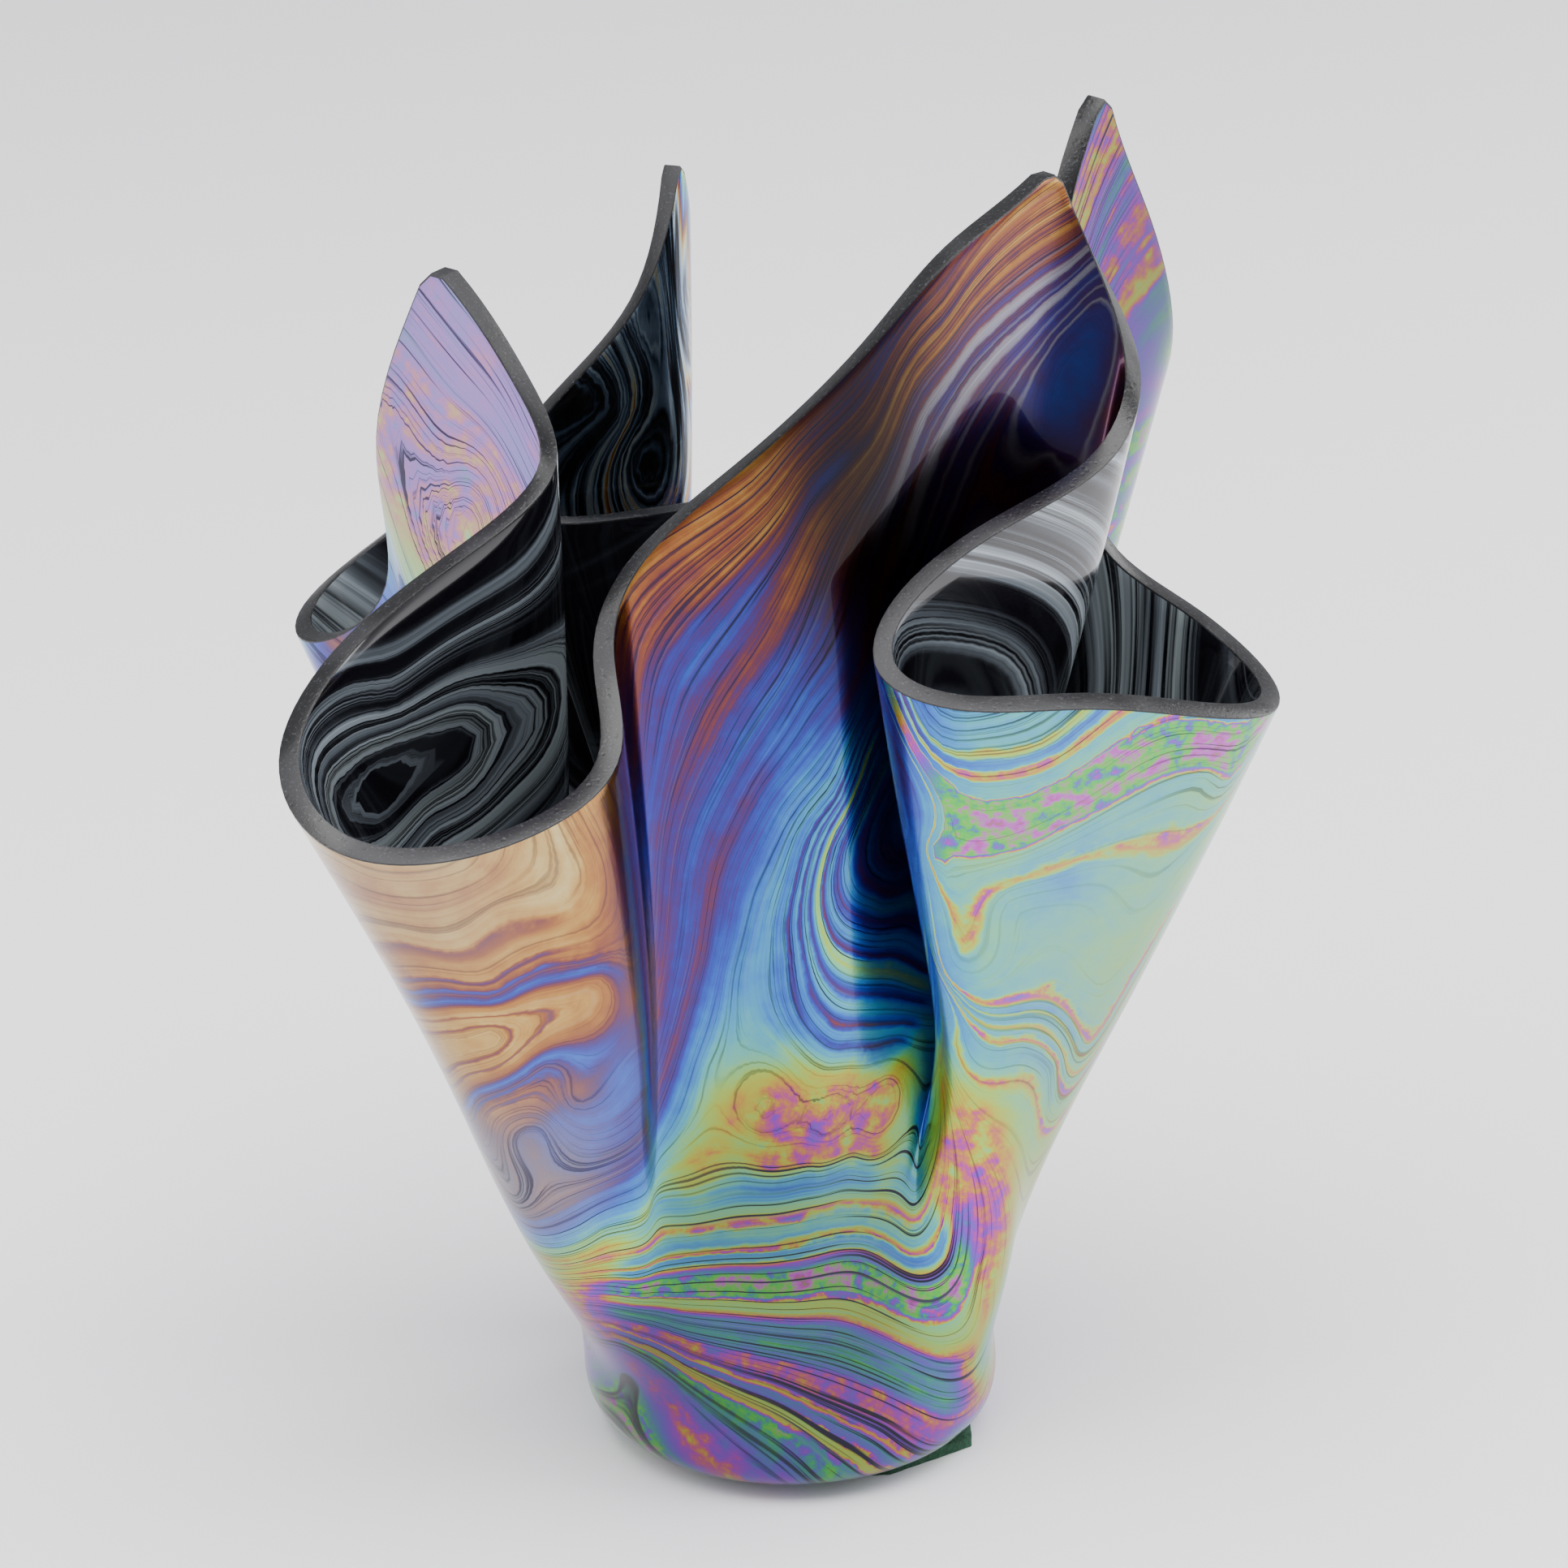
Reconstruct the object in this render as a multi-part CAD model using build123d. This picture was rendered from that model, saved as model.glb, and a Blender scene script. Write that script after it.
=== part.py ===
from build123d import *
import math
import os

# Hand blown handkerchief vase of dark glass on a round foot, with a felt pad stuck underneath.
# Millimetres, +Z up. The origin is the centre of the felt's underside. The front faces -Y.

# The glass sheet
wall = 5.5
cells_round = 51
cells_up = 12
cell_steps = 3  # steps along each side of one cell
controls = 4  # control points that share in any point of a smooth curve
halvings = 40  # how finely the cut at the rim is found

# The pad under the foot
felt_thick = 3.2
film_thick = 0.3
film_radius = 30.0

# The share of a corner tip's point at which it is blunted
tip_flat_share = 0.9

# The rim, anticlockwise seen from above, starting at the front corner of the blown sheet.
# Each line: x, y, z, the angle round the foot where the same strip of glass starts,
# and how far that start is pushed outwards (a ridge) or inwards (a pleat).
rim = [
    (56, 12, 294, 280, -3),  # front corner tip
    (69, 14, 287, 290, -8),
    (81, 5, 268, 301, -12),  # pleat behind the right front lobe
    (72, -13, 252, 312, -12),
    (44, -31, 247, 321, -5),
    (22, -47, 235, 330, 6),
    (17, -62, 223, 338, 13),  # right front lobe, left end
    (38, -69, 218, 344, 11),
    (66, -63, 219, 349, 6),
    (90, -55, 212, 353, 2),
    (109, -44, 206, 357, 0),
    (110, -19, 204, 362, 0),  # right front lobe, right end
    (94, 3, 211, 366, 0),
    (81, 12, 215, 371, 0),
    (66, 14, 228, 376, 0),  # right valley
    (56, 23, 283, 381, 0),
    (66, 37, 296, 388, 0),  # right corner tip
    (82, 51, 286, 396, 0),
    (91, 64, 252, 404, 0),
    (83, 75, 230, 412, 0),
    (60, 80, 216, 421, 0),  # right back lobe
    (25, 76, 214, 431, 0),
    (-15, 63, 215, 440, 0),
    (-56, 42, 215, 449, -2),
    (-74, 49, 219, 459, -6),  # back valley
    (-60, 68, 236, 467, -5),
    (-34, 76, 254, 473, 0),
    (-27, 82, 274, 477, 4),  # back corner tip
    (-25, 96, 256, 482, 5),
    (-42, 108, 230, 489, 3),
    (-68, 105, 214, 498, 0),
    (-99, 92, 194, 508, 0),  # left back lobe
    (-121, 64, 186, 519, 0),
    (-116, 38, 184, 529, 0),
    (-87, 34, 200, 536, 0),
    (-99, 28, 240, 541, 0),
    (-76, 6, 275, 546, 0),  # left corner tip
    (-60, -4, 264, 550, 0),
    (-50, -12, 250, 554, 0),  # left valley
    (-74, -24, 237, 559, 0),
    (-100, -44, 225, 565, 0),
    (-115, -70, 209, 572, 0),  # left front lobe, left end
    (-105, -94, 199, 579, 0),
    (-86, -99, 195, 585, 0),
    (-60, -92, 197, 591, 0),
    (-35, -69, 204, 598, 0),  # left front lobe, right end
    (-45, -46, 222, 606, 0),
    (-37, -34, 241, 614, 0),
    (-9, -26, 260, 621, 0),
    (18, -22, 285, 628, 0),
    (34, -11, 301, 634, 0),
]

# The four corner tips: place in the rim list, extra reach as a share, half width in rim steps
tips = [(0, 0.08, 0.8), (16, 0.125, 0.7), (27, 0.10, 0.7), (36, 0.11, 0.8)]

# Rows of the control net from the middle of the foot to past the rim: share of the way to the
# rim, ring radius, ring height, share of the push, ring centre x, extra glass on the inside.
rows = [
    (0, 0, 6.25, 0, 0, 3.5),
    (0, 20, 6.25, 0, 0, 3.5),
    (0, 38, 6.25, 0, 0, 3.5),
    (0, 47, 6.25, 0, 0, 3.5),
    (0, 48.4, 13, 0, 0, 2.5),
    (0, 46.6, 25, 0.1, -1, 1),
    (0.06, 50, 34, 0.6, -4, 0),
    (0.16, 52, 38, 1, -7, 0),
    (0.32, 52, 40, 1, -7, 0),
    (0.5, 51, 40, 0.8, -4, 0),
    (0.68, 50, 40, 0.4, -2, 0),
    (0.86, 50, 40, 0, 0, 0),
    (1.04, 50, 40, 0, 0, 0),
    (1.22, 50, 40, 0, 0, 0),
    (1.4, 50, 40, 0, 0, 0),
]

# The hand-cut felt: a round cut, anticlockwise from the corner left standing at the front right.
# A straight snip closes it from the last point to the corner.
felt_cut = [
    (44, -21), (43, -4), (37, 15), (22, 31), (0, 38), (-22, 33),
    (-35, 18), (-38, -3), (-30, -22), (-13, -32), (7, -35), (24, -34),
]


def curve_weights(t):
    """Weights of four neighbouring control points on a uniform cubic B-spline."""
    return (
        (1 - t) ** 3 / 6,
        (3 * t ** 3 - 6 * t * t + 4) / 6,
        (-3 * t ** 3 + 3 * t * t + 3 * t + 1) / 6,
        t ** 3 / 6,
    )


def net_point(row, strip):
    """One control point: a foot ring point blended towards the rim."""
    reach, radius, height, push_share, centre_x, _ = row
    x, y, z, angle, push = strip
    spread = radius + push_share * push
    foot = Vector(
        centre_x + spread * math.cos(math.radians(angle)),
        spread * math.sin(math.radians(angle)),
        height,
    )
    return foot * (1 - reach) + Vector(x, y, z) * reach


def net_normal(net, row, column):
    """The outward direction of the net at one control point."""
    if row == 0:
        return Vector(0, 0, -1)
    last_row = len(net) - 1
    around = net[row][(column + 1) % cells_round] - net[row][column - 1]
    upward = net[min(row + 1, last_row)][column] - net[row - 1][column]
    return around.cross(upward).normalized()


def skin_net(outside):
    """The control net of the outer or the inner face of the glass."""
    middle = [[net_point(row, strip) for strip in rim] for row in rows]
    moved = []
    for row in range(len(rows)):
        extra_inside = rows[row][-1]
        shift = wall / 2 if outside else -wall / 2 - extra_inside
        moved.append([middle[row][c] + net_normal(middle, row, c) * shift for c in range(cells_round)])
    return moved


def skin_point(net, around, up):
    """A point of the glass face at a place round the rim and a place up the net."""
    column = math.floor(around)
    row = min(math.floor(up), len(rows) - controls)
    weights_around = curve_weights(around - column)
    weights_up = curve_weights(up - row)
    total = Vector(0, 0, 0)
    for a in range(controls):
        for b in range(controls):
            control = net[row + b][(column - 1 + a) % cells_round]
            total += control * (weights_around[a] * weights_up[b])
    return total


def reach_at(up):
    """The share of the way to the rim at a place up the net."""
    row = min(math.floor(up), len(rows) - controls)
    weights = curve_weights(up - row)
    return sum(weights[b] * rows[row + b][0] for b in range(controls))


def rim_reach(around):
    """How far up the glass is cut, with a blunt point at each corner tip."""
    reach = 1.0
    for place, extra, half_width in tips:
        away = abs((around - place + cells_round / 2) % cells_round - cells_round / 2)
        reach += extra * min(tip_flat_share, math.exp(-away / half_width)) / tip_flat_share
    return reach


def rim_place(around):
    """The place up the net where the glass is cut."""
    low = 0.0
    high = len(rows) - controls + 1.0
    target = rim_reach(around)
    for _ in range(halvings):
        middle = (low + high) / 2
        if reach_at(middle) < target:
            low = middle
        else:
            high = middle
    return low


def skin_grid(net):
    """Points of one face of the glass, four along each side of every cell."""
    grid = []
    steps_up = cells_up * cell_steps
    for i in range(cells_round * cell_steps):
        around = i / cell_steps
        top = rim_place(around)
        grid.append([skin_point(net, around, top * j / steps_up) for j in range(steps_up + 1)])
    return grid


def cell_column(grid, cell, place):
    """One of the upright lines of grid points along a cell, from its first to its last."""
    return grid[(cell * cell_steps + place) % len(grid)]


def through_four(points):
    """Cubic control points of a curve that passes through four even points."""
    first, second, third, last = points
    return [
        first,
        (first * -5 + second * 18 - third * 9 + last * 2) / 6,
        (first * 2 - second * 9 + third * 18 - last * 5) / 6,
        last,
    ]


def skin_faces(grid):
    """One smooth patch for each cell of a glass face."""
    faces = []
    for i in range(cells_round):
        columns = [cell_column(grid, i, a) for a in range(controls)]
        for j in range(cells_up):
            start = j * cell_steps
            upright = [through_four(column[start:start + controls]) for column in columns]
            rows_across = [through_four([line[b] for line in upright]) for b in range(controls)]
            faces.append(Face.make_bezier_surface(rows_across))
    return faces


def ring_controls(grid, cell, place):
    """Control points of the grid's ring at one height, along one cell."""
    return through_four([cell_column(grid, cell, a)[place] for a in range(controls)])


def rim_faces(outer, inner):
    """The flat ground edge between the outer and the inner face."""
    faces = []
    for cell in range(cells_round):
        outer_edge = ring_controls(outer, cell, -1)
        inner_edge = ring_controls(inner, cell, -1)
        faces.append(Face.make_bezier_surface([outer_edge, inner_edge]))
    return faces


def middle_face(grid):
    """The flat disc that closes the middle of the foot."""
    edges = [Edge.make_bezier(*ring_controls(grid, cell, 0)) for cell in range(cells_round)]
    return Face(Wire(edges))


def glass_body():
    """The whole glass sheet as one closed solid."""
    outer = skin_grid(skin_net(outside=True))
    inner = skin_grid(skin_net(outside=False))
    faces = skin_faces(outer) + skin_faces(inner) + rim_faces(outer, inner)
    faces += [middle_face(outer), middle_face(inner)]
    return Solid(Shell(faces))


def felt_pad():
    """The hand-cut felt disc."""
    round_cut = Spline(*felt_cut)
    snip = Line(felt_cut[-1], felt_cut[0])
    return extrude(Face(Wire([round_cut, snip])), felt_thick)


def pad_adhesive():
    """The thin glue film between the felt and the glass."""
    film = Cylinder(film_radius, film_thick, align=(Align.CENTER, Align.CENTER, Align.MIN))
    return Pos(0, 0, felt_thick) * film


parts = {
    "glass_body": glass_body(),
    "felt_pad": felt_pad(),
    "pad_adhesive": pad_adhesive(),
}

os.makedirs("parts", exist_ok=True)
for name, part in parts.items():
    part.label = name
    export_step(part, f"parts/{name}.step")
    print(name, part.is_valid, round(part.volume), part.bounding_box())
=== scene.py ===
import math
import bpy
import numpy as np
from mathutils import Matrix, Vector


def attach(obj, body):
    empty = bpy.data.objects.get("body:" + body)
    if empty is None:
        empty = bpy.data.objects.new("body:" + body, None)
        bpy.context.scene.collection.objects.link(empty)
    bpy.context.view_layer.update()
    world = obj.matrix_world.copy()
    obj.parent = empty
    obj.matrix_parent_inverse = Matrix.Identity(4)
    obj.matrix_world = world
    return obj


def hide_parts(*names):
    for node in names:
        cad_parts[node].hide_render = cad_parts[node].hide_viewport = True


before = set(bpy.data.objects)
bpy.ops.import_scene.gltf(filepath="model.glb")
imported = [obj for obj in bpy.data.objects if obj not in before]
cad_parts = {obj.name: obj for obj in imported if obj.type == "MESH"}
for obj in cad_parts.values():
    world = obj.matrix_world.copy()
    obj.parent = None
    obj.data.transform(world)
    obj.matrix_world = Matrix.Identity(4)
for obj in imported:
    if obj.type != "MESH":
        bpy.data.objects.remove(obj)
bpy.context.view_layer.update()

mm = 0.001
controls = 4  # control points that share in any point of a smooth curve


class Wire:
    # a node's output that can be used in sums: 1 - mask, stripe * 0.3 + film
    def __init__(self, bench, socket):
        self.bench = bench
        self.socket = socket

    def sum(self, operation, first, second):
        return self.bench.add("ShaderNodeMath", {"operation": operation}, {0: first, 1: second})

    def __add__(self, other):
        return self.sum("ADD", self, other)

    def __radd__(self, other):
        return self.sum("ADD", other, self)

    def __sub__(self, other):
        return self.sum("SUBTRACT", self, other)

    def __rsub__(self, other):
        return self.sum("SUBTRACT", other, self)

    def __mul__(self, other):
        return self.sum("MULTIPLY", self, other)

    def __truediv__(self, other):
        return self.sum("DIVIDE", self, other)

    def centred(self):
        # noise of 0 to 1 as a swing to both sides of 0
        return self - 0.5

    def clipped(self, low, high):
        # 0 below low, 1 above high, smooth between
        return self.bench.add("ShaderNodeMapRange", {"interpolation_type": "SMOOTHSTEP"},
                              {"Value": self, "From Min": low, "From Max": high})


class Bench:
    # one material's nodes
    def __init__(self, name):
        self.material = bpy.data.materials.new(name)
        self.material.use_nodes = True
        self.tree = self.material.node_tree
        self.shader = self.tree.nodes["Principled BSDF"]

    def plug(self, socket, value):
        if isinstance(value, Wire):
            self.tree.links.new(value.socket, socket)
        else:
            socket.default_value = value

    def add(self, kind, settings=None, inputs=None, out=0):
        node = self.tree.nodes.new(kind)
        for name, value in (settings or {}).items():
            if name == "stops":
                ramp = node.color_ramp.elements
                while len(ramp) < len(value):
                    ramp.new(0.5)
                for stop, (place, colour) in zip(ramp, value):
                    stop.position = place
                    stop.color = colour
            else:
                setattr(node, name, value)
        for name, value in (inputs or {}).items():
            self.plug(node.inputs[name], value)
        return Wire(self, node.outputs[out])

    def mix(self, share, first, second):
        # the colour sockets are named like the plain ones, so they go by their places
        return self.add("ShaderNodeMix", {"data_type": "RGBA"}, {0: share, 6: first, 7: second}, out=2)

    def place(self):
        return self.add("ShaderNodeTexCoord", out="Object")

    def carried(self, name, out="Color"):
        # what the piece's own points carry
        return self.add("ShaderNodeAttribute", {"attribute_name": name}, out=out)

    def noise(self, place, scale, detail, roughness):
        return self.add("ShaderNodeTexNoise", {}, {"Vector": place, "Scale": scale, "Detail": detail,
                                                   "Roughness": roughness})

    def bumps(self, strength, depth, height):
        return self.add("ShaderNodeBump", {}, {"Strength": strength, "Distance": depth, "Height": height})

    def set(self, **values):
        for name, value in values.items():
            self.plug(self.shader.inputs[name.replace("_", " ")], value)


def tone(red, green, blue):
    # screen values 0 to 255 as a linear colour
    return tuple(((c / 255 + 0.055) / 1.055) ** 2.4 if c > 10 else c / 255 / 12.92
                 for c in (red, green, blue)) + (1.0,)


# Strips of the sheet, anticlockwise from the front corner tip: x, y, z of the rim in millimetres,
# the strip's angle at the foot, and how far it is ridged out or pleated in.
sheet = {
    "wall": 5.5,
    "strips": [
        (56, 12, 294, 280, -3), (69, 14, 287, 290, -8), (81, 5, 268, 301, -12), (72, -12, 252, 312, -12),
        (44, -31, 247, 321, -5), (22, -47, 235, 330, 6), (17, -62, 223, 338, 13), (38, -69, 218, 344, 11),
        (66, -63, 219, 349, 6), (90, -55, 212, 353, 2), (109, -44, 206, 357, 0), (110, -19, 204, 362, 0),
        (94, 3, 211, 366, 0), (81, 12, 215, 371, 0), (66, 14, 228, 376, 0), (56, 23, 283, 381, 0),
        (66, 37, 296, 388, 0), (82, 51, 286, 396, 0), (91, 64, 252, 404, 0), (83, 75, 230, 412, 0),
        (60, 80, 216, 421, 0), (25, 76, 214, 431, 0), (-15, 63, 215, 440, 0), (-56, 42, 215, 449, -2),
        (-74, 49, 219, 459, -6), (-60, 68, 236, 467, -5), (-34, 76, 254, 473, 0), (-27, 82, 274, 477, 4),
        (-25, 96, 256, 482, 5), (-42, 108, 230, 489, 3), (-68, 105, 214, 498, 0), (-99, 92, 194, 508, 0),
        (-121, 64, 186, 519, 0), (-116, 38, 184, 529, 0), (-87, 34, 200, 536, 0), (-99, 28, 240, 541, 0),
        (-76, 6, 275, 546, 0), (-60, -4, 264, 550, 0), (-50, -12, 250, 554, 0), (-74, -24, 237, 559, 0),
        (-100, -44, 225, 565, 0), (-115, -70, 209, 572, 0), (-105, -94, 199, 579, 0),
        (-86, -99, 195, 585, 0), (-60, -92, 197, 591, 0), (-35, -69, 204, 598, 0), (-45, -46, 222, 606, 0),
        (-37, -34, 241, 614, 0), (-9, -26, 260, 621, 0), (18, -22, 285, 628, 0), (34, -11, 301, 634, 0),
    ],
    # corner tips: place in the list of strips, extra reach, half width in strips
    "tips": [(0, 0.08, 0.8), (16, 0.125, 0.7), (27, 0.10, 0.7), (36, 0.11, 0.8)],
    "tipFlat": 0.9,
    # rows from the middle of the foot to past the rim: share of the way to the rim, ring radius,
    # ring height, share of the ridge or pleat, ring centre x, extra glass inside
    "rows": [
        (0, 0, 6.25, 0, 0, 3.5), (0, 20, 6.25, 0, 0, 3.5), (0, 38, 6.25, 0, 0, 3.5),
        (0, 47, 6.25, 0, 0, 3.5), (0, 48.4, 13, 0, 0, 2.5), (0, 46.6, 25, 0.1, -1, 1),
        (0.06, 50, 34, 0.6, -4, 0), (0.16, 52, 38, 1, -7, 0), (0.32, 52, 40, 1, -7, 0),
        (0.5, 51, 40, 0.8, -4, 0), (0.68, 50, 40, 0.4, -2, 0), (0.86, 50, 40, 0, 0, 0),
        (1.04, 50, 40, 0, 0, 0), (1.22, 50, 40, 0, 0, 0), (1.4, 50, 40, 0, 0, 0),
    ],
    "outerColumns": 408,
    "outerRows": 120,
    "innerRows": 84,
    "footRings": 4,
    "rimSamples": 2400,  # how finely the cut at the rim is looked up
    "weld": 0.02,
    "arris": 0.45,
    "arrisSteps": 2,
    "arrisProfile": 0.6,
    "smoothAngle": 38,
}


def curveWeights(t):
    # shares of four neighbouring control points on a smooth cubic curve
    return ((1 - t) ** 3 / 6, (3 * t ** 3 - 6 * t * t + 4) / 6,
            (-3 * t ** 3 + 3 * t * t + 3 * t + 1) / 6, t ** 3 / 6)


def skinNets():
    # control nets of the outer and the inner face, in metres
    x, y, z, angle, push = np.array(sheet["strips"], float).T
    ring = np.stack([np.cos(np.radians(angle)), np.sin(np.radians(angle))])
    net = []
    for reach, radius, height, pushShare, centre, _ in sheet["rows"]:
        spread = radius + pushShare * push
        foot = np.stack([centre + spread * ring[0], spread * ring[1], np.full(len(x), float(height))], -1)
        net.append(foot * (1 - reach) + np.stack([x, y, z], -1) * reach)
    net = np.array(net)
    around = np.roll(net, -1, 1) - np.roll(net, 1, 1)
    upward = np.concatenate([net[1:2] - net[:1], net[2:] - net[:-2], net[-1:] - net[-2:-1]])
    normal = np.cross(around, upward)
    normal /= np.maximum(np.linalg.norm(normal, axis=2, keepdims=True), 1e-9)
    normal[0] = (0, 0, -1)
    extra = np.array([row[-1] for row in sheet["rows"]])[:, None, None]
    half = sheet["wall"] / 2
    return (net + normal * half) * mm, (net - normal * (half + extra)) * mm


def reachAt(up):
    # share of the way to the rim at a place up the net
    row = np.minimum(np.floor(up).astype(int), len(sheet["rows"]) - controls)
    reach = np.array([r[0] for r in sheet["rows"]])
    return sum(w * reach[row + b] for b, w in enumerate(curveWeights(up - row)))


def rimPlaces(around):
    # the place up the net where the sheet is cut, with a blunt point at each corner
    count = len(sheet["strips"])
    reach = np.ones(len(around))
    for place, extra, halfWidth in sheet["tips"]:
        away = np.abs((around - place + count / 2) % count - count / 2)
        reach += extra * np.minimum(sheet["tipFlat"], np.exp(-away / halfWidth)) / sheet["tipFlat"]
    places = np.linspace(0, len(sheet["rows"]) - controls + 1, sheet["rimSamples"])
    return np.interp(reach, reachAt(places), places)


def skinPoints(net, around, up):
    # points of a face at places round the rim and places up the net
    column = np.floor(around).astype(int)
    row = np.minimum(np.floor(up).astype(int), len(net) - controls)
    sideways = curveWeights(around - column)
    upwards = curveWeights(up - row)
    return sum((sideways[a] * upwards[b])[..., None] * net[row + b, (column - 1 + a) % len(net[0])]
               for a in range(controls) for b in range(controls))


def sheetGrid():
    # rings of points: up the outside from the foot's middle, then from the rim down the inside
    columns = sheet["outerColumns"]
    around = np.arange(columns) / columns * len(sheet["strips"])
    top = rimPlaces(around)
    faces = []
    for net, count in zip(skinNets(), (sheet["outerRows"], sheet["innerRows"])):
        up = np.linspace(0, 1, count)[:, None] * top[None]
        rings = skinPoints(net, np.broadcast_to(around, up.shape), up)
        middle = rings[0].mean(0)
        shrink = np.arange(sheet["footRings"])[:, None, None] / sheet["footRings"]
        faces.append(np.concatenate([middle + (rings[:1] - middle) * shrink, rings]))
    return faces[0], faces[1][::-1]


def unrolled(rings):
    # where each point lay on the flat sheet before it was folded: length up the glass, turned
    # round the foot's middle
    steps = np.linalg.norm(np.diff(rings, axis=0), axis=2)
    reach = np.concatenate([np.zeros((1, rings.shape[1])), np.cumsum(steps, 0)])
    turn = np.arange(rings.shape[1]) / rings.shape[1] * 2 * math.pi
    return np.stack([reach * np.sin(turn), -reach * np.cos(turn)], -1)


def carry(mesh, name, colours):
    # puts four numbers on each point of a mesh
    layer = mesh.attributes.new(name, "FLOAT_COLOR", "POINT")
    layer.data.foreach_set("color", colours.reshape(-1).astype(np.float32))


def blowGlass():
    outer, inner = sheetGrid()
    outerFlat = unrolled(outer)
    flat = np.concatenate([outerFlat, unrolled(inner[::-1])[::-1]])
    points = np.concatenate([outer, inner])
    ringCount, columns = points.shape[:2]
    bpy.ops.mesh.primitive_grid_add(x_subdivisions=columns, y_subdivisions=ringCount - 1, size=1)
    glass = bpy.context.object
    glass.name = "glass_sheet"
    mesh = glass.data
    # the last column lies on the first, so the sheet closes round the foot
    closed = np.concatenate([points, points[:, :1]], 1)
    closedFlat = np.concatenate([flat, flat[:, :1]], 1)
    mesh.vertices.foreach_set("co", closed.reshape(-1).astype(np.float32))
    outside = np.arange(ringCount)[:, None] < len(outer)
    carry(mesh, "flow", marbled(closedFlat, outside))
    carry(mesh, "zones", zoneShares(closedFlat))
    mapOfSheet = {"points": outer.reshape(-1, 3), "flat": outerFlat.reshape(-1, 2)}
    for material in (lustreGlass(mapOfSheet), groundRim(), darkGlass()):
        mesh.materials.append(material)
    slots = np.repeat([0, 1, 2], [len(outer) - 1, 1, len(inner) - 1])
    mesh.polygons.foreach_set("material_index", np.repeat(slots, columns).astype(np.int32))
    mesh.update()
    bpy.ops.object.mode_set(mode="EDIT")
    bpy.ops.mesh.select_all(action="SELECT")
    bpy.ops.mesh.remove_doubles(threshold=sheet["weld"] * mm)
    bpy.ops.mesh.normals_make_consistent(inside=False)
    # the two edges of the ground rim are softened to a narrow arris
    bpy.ops.mesh.select_all(action="DESELECT")
    glass.active_material_index = 1
    bpy.ops.object.material_slot_select()
    bpy.ops.mesh.select_mode(type="EDGE")
    bpy.ops.mesh.region_to_loop()
    bpy.ops.mesh.bevel(offset=sheet["arris"] * mm, segments=sheet["arrisSteps"],
                       profile=sheet["arrisProfile"], affect="EDGES", material=1)
    bpy.ops.mesh.select_all(action="DESELECT")
    bpy.ops.object.mode_set(mode="OBJECT")
    bpy.ops.object.shade_smooth_by_angle(angle=math.radians(sheet["smoothAngle"]))
    return glass


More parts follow.
